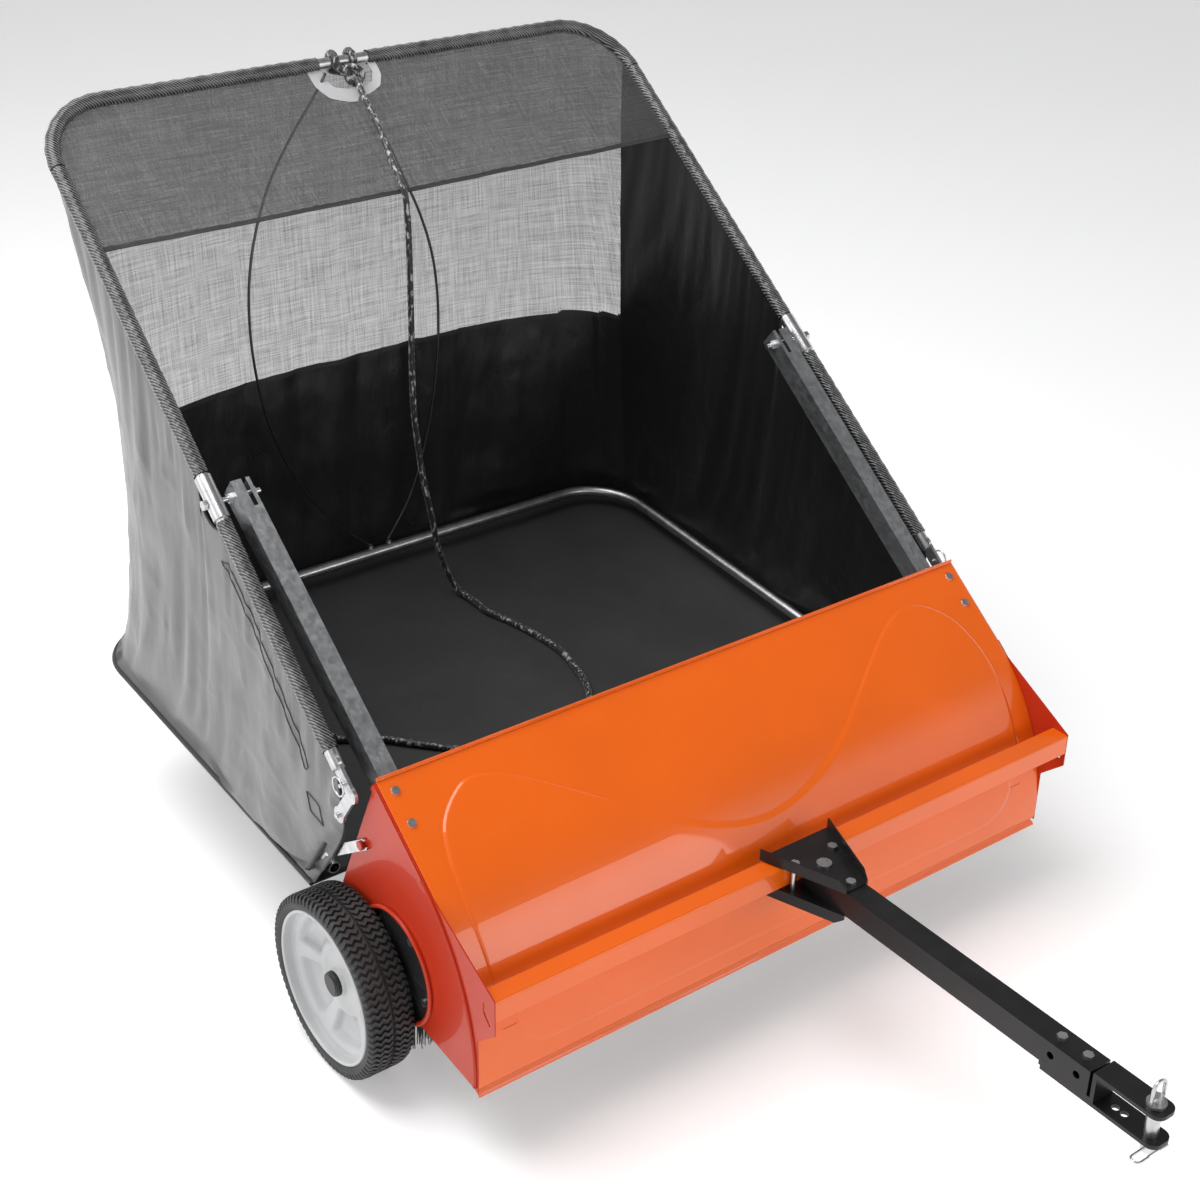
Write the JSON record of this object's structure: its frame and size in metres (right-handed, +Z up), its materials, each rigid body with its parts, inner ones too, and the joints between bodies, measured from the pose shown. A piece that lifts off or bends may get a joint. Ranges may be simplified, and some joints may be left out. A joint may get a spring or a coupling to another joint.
{
  "type": "lawn sweeper",
  "caption": "Tow-behind lawn sweeper with an orange steel housing, ground-driven brush, clevis drawbar and a tipping fabric hopper on a tube frame.",
  "frame": {"origin": "Ground point at the middle of the whole machine's footprint", "axes": "X across the machine towards its left side, -Y the direction of travel (drawbar), +Z up from the ground"},
  "size_m": [1.244, 1.9001, 1.1895],
  "materials": {
    "orange": "gloss",
    "red_orange": "gloss",
    "zinc": "satin",
    "galvanised": "mottled",
    "black_paint": "satin",
    "black_plastic": "matte",
    "bush_nylon": "matte",
    "tyre": "matte",
    "rim_grey": "satin",
    "bristle": "matte",
    "floor_vinyl": "coated",
    "side_fabric": "satin weave",
    "mesh": "open weave",
    "cord": "braided"
  },
  "bodies": {
    "chassis": {"housing_shell": "orange", "side_plate_left": "red_orange", "side_plate_right": "red_orange", "cross_bar": "orange", "cover_bolts": "zinc", "arm_brackets": "red_orange", "arm_left": "galvanised", "arm_right": "galvanised", "arm_bolts": "zinc", "pivot_bolts": "zinc", "pivot_nuts": "zinc", "bearing_plate_left": "black_plastic", "bearing_plate_right": "black_plastic", "bearing_screws": "zinc", "brush_bushes": "bush_nylon", "stub_axles": "zinc", "axle_nuts": "zinc", "tongue_tube": "black_paint", "hitch_bracket_top": "black_paint", "hitch_bracket_bottom": "black_paint", "bracket_bolts": "zinc", "tongue_bolts": "zinc", "clevis_strap_top": "black_paint", "clevis_strap_bottom": "black_paint"},
    "wheel_left": {"tyre_left": "tyre", "rim_left": "rim_grey", "ring_gear_left": "black_plastic", "hub_cap_left": "black_plastic"},
    "wheel_right": {"tyre_right": "tyre", "rim_right": "rim_grey", "ring_gear_right": "black_plastic", "hub_cap_right": "black_plastic"},
    "brush": {"brush_shaft": "zinc", "brush_hubs": "black_plastic", "bristle_channels": "galvanised", "bristle_rows": "bristle", "pinions": "zinc"},
    "pin": {"hitch_pin": "zinc"},
    "ring": {"pin_ring": "zinc"},
    "clip": {"hairpin": "zinc"},
    "hopper": {"upper_tube": "zinc", "side_tube_left": "zinc", "side_tube_right": "zinc", "tube_couplers": "zinc", "lower_tube": "zinc", "front_struts": "zinc", "hook_links": "zinc", "strut_clips": "zinc", "bow_rods": "black_paint", "bag_floor": "floor_vinyl", "bag_side_left": "side_fabric", "bag_side_right": "side_fabric", "bag_rear_skirt": "floor_vinyl", "bag_rear_mesh": "mesh", "bag_hood": "mesh", "tube_sleeves": "side_fabric", "rope": "cord", "rope_hitch": "cord", "rope_end_knot": "cord"}
  },
  "joints": [
    {"name": "wheel_right_spin", "type": "hinge", "parent": "chassis", "child": "wheel_right", "pos_m": [0, 0.0231, 0.14], "axis": [1, 0, 0], "continuous": true},
    {"name": "wheel_left_spin", "type": "hinge", "parent": "chassis", "child": "wheel_left", "pos_m": [0, 0.0231, 0.14], "axis": [1, 0, 0], "continuous": true},
    {"name": "brush_spin", "type": "hinge", "parent": "chassis", "child": "brush", "pos_m": [0, -0.04386, 0.18602], "axis": [1, 0, 0], "continuous": true},
    {"name": "hopper_dump", "type": "hinge", "parent": "chassis", "child": "hopper", "pos_m": [0, 0.3846, 0.74], "axis": [1, 0, 0], "range_deg": [0, 90]},
    {"name": "pin_lift", "type": "slide", "parent": "chassis", "child": "pin", "axis": [0, 0, 1], "range_m": [0, 0.008]},
    {"name": "ring_fold", "type": "hinge", "parent": "pin", "child": "ring", "pos_m": [0, -0.9249, 0.3143], "axis": [1, 0, 0], "range_deg": [-70, 70]},
    {"name": "clip_pull", "type": "slide", "parent": "pin", "child": "clip", "axis": [-1, 0, 0], "range_m": [0, 0.04]}
  ],
  "couplings": [
    {"joint": "wheel_left_spin", "follows": "wheel_right_spin", "ratio": 1},
    {"joint": "brush_spin", "follows": "wheel_right_spin", "ratio": 6}
  ]
}
